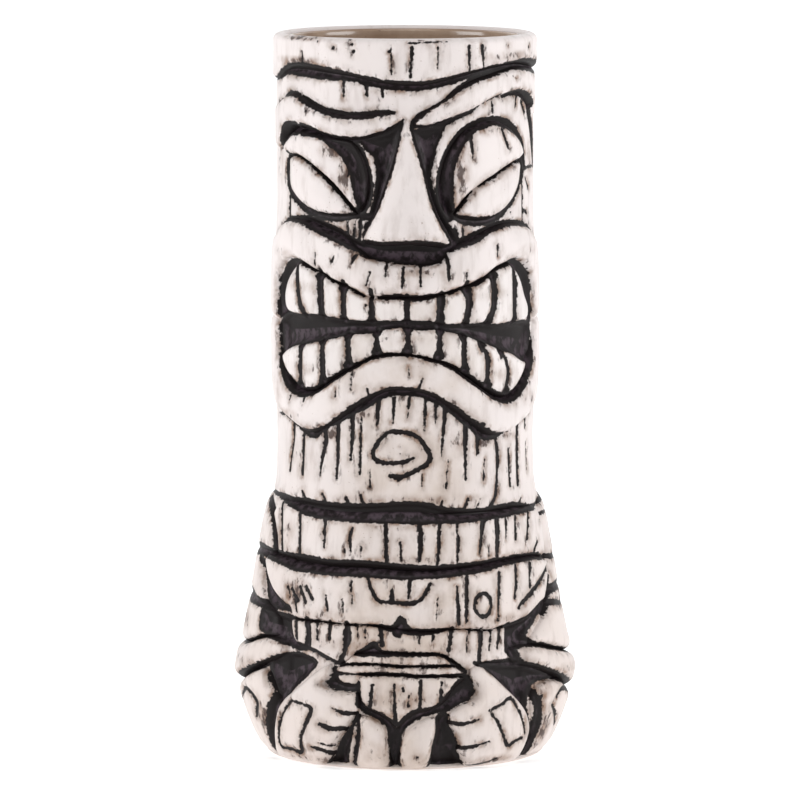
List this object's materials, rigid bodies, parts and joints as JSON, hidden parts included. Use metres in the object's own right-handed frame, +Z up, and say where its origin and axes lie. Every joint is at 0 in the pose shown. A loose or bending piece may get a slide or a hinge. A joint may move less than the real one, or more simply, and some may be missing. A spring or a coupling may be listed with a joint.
{
  "type": "tiki mug",
  "caption": "Tall ceramic tiki mug: straight drinking vessel carved as a grimacing mask over a crouching figure with hands at its belt, dark stain in the grooves.",
  "frame": {"origin": "centre of the flat underside the mug stands on", "axes": "+Z up along the cup's axis to the mouth; the mask faces -Y; +X is towards the mask's own left hand"},
  "size_m": [0.083, 0.0745, 0.18],
  "materials": {
    "wall_stoneware": "satin",
    "stained_stoneware": "satin",
    "tooth_glaze": "gloss",
    "lining_glaze": "gloss"
  },
  "bodies": {
    "root": {"vessel_wall": "wall_stoneware", "glaze_lining": "lining_glaze", "rim_band": "stained_stoneware", "brow_right": "stained_stoneware", "brow_left": "stained_stoneware", "eye_right": "stained_stoneware", "eyelid_right": "stained_stoneware", "eye_left": "stained_stoneware", "eyelid_left": "stained_stoneware", "nose": "stained_stoneware", "upper_lip": "stained_stoneware", "lower_lip": "stained_stoneware", "neck_band": "stained_stoneware", "collar": "stained_stoneware", "fringe": "stained_stoneware", "belt_upper": "stained_stoneware", "belt_lower": "stained_stoneware", "apron": "stained_stoneware", "arm_left": "stained_stoneware", "elbow_cuff_left": "stained_stoneware", "forearm_left": "stained_stoneware", "arm_right": "stained_stoneware", "elbow_cuff_right": "stained_stoneware", "forearm_right": "stained_stoneware", "hand_left": "stained_stoneware", "knee_left": "stained_stoneware", "hand_right": "stained_stoneware", "knee_right": "stained_stoneware", "upper_teeth": "tooth_glaze", "lower_teeth": "tooth_glaze"}
  },
  "joints": []
}
